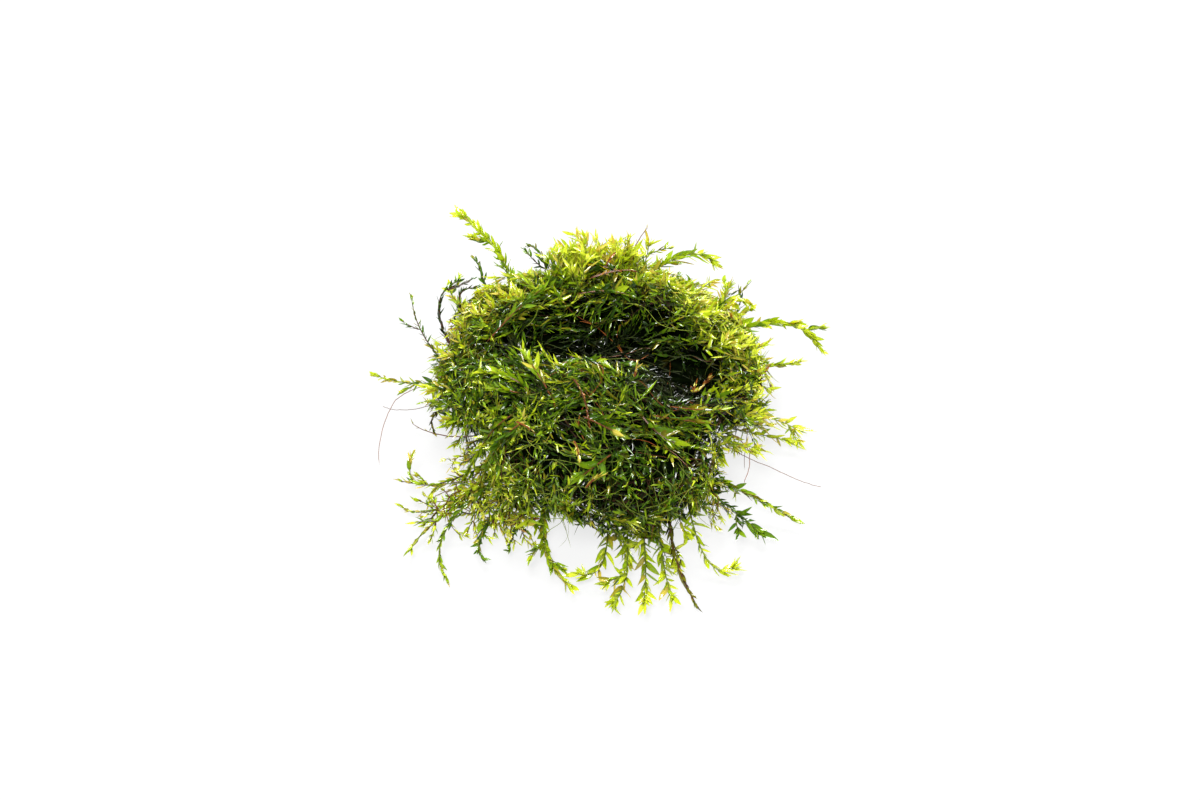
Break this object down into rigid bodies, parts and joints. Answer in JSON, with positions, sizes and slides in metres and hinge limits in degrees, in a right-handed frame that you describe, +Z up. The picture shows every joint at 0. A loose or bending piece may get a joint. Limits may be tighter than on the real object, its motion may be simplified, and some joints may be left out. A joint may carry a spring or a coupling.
{
  "type": "moss clump",
  "caption": "Loose clump of damp feather moss: a low tangled mat with a cleft across its top, fringed by leafy shoots, bare old stems and hair-fine threads.",
  "frame": {"origin": "middle of the flat underside of the mat, on the surface that the clump rests on", "axes": "+Z up out of the mat; -Y is the low front side with the long ground-lying shoots, +Y the side of the higher ridge; +X runs along the cleft"},
  "size_m": [0.0819, 0.0814, 0.028],
  "materials": {
    "mat": "damp, dark green tangle of fine leaves with wet highlights",
    "leafy_shoot": "damp, thin, see-through yellow-green leaves",
    "old_stem": "matt brown, dead",
    "thread": "fine reddish brown thread"
  },
  "bodies": {
    "root": {"moss_mat": "mat", "old_stem_back": "old_stem", "old_stem_front": "old_stem", "old_stem_left": "old_stem", "shoot_back_crest_left": "leafy_shoot", "shoot_back_crest_middle": "leafy_shoot", "shoot_back_crest_right": "leafy_shoot", "shoot_back_left_curved": "leafy_shoot", "shoot_back_left_long": "leafy_shoot", "shoot_back_left_side": "leafy_shoot", "shoot_back_left_thin": "leafy_shoot", "shoot_back_right_arch": "leafy_shoot", "shoot_back_right_lower": "leafy_shoot", "shoot_back_right_short": "leafy_shoot", "shoot_back_right_star": "leafy_shoot", "shoot_back_right_upper": "leafy_shoot", "shoot_behind_left": "leafy_shoot", "shoot_behind_left_low": "leafy_shoot", "shoot_behind_middle": "leafy_shoot", "shoot_behind_right": "leafy_shoot", "shoot_behind_right_low": "leafy_shoot", "shoot_front_crossing": "leafy_shoot", "shoot_front_first": "leafy_shoot", "shoot_front_left_leafy": "leafy_shoot", "shoot_front_left_long": "leafy_shoot", "shoot_front_left_short": "leafy_shoot", "shoot_front_left_stub": "leafy_shoot", "shoot_front_right_fork": "leafy_shoot", "shoot_front_second": "leafy_shoot", "shoot_front_third": "leafy_shoot", "shoot_left_arched": "leafy_shoot", "shoot_left_drooping": "leafy_shoot", "shoot_left_level": "leafy_shoot", "shoot_left_low_curled": "leafy_shoot", "shoot_left_low_outer": "leafy_shoot", "shoot_left_low_spread": "leafy_shoot", "shoot_left_upright": "leafy_shoot", "shoot_right_level": "leafy_shoot", "shoot_right_long": "leafy_shoot", "shoot_right_low_cluster": "leafy_shoot", "shoot_right_low_long": "leafy_shoot", "shoot_right_middle": "leafy_shoot", "shoot_right_star": "leafy_shoot", "shoot_right_under": "leafy_shoot", "thread_left_long": "thread", "thread_left_short": "thread", "thread_right": "thread", "thread_right_low": "thread"}
  },
  "joints": []
}
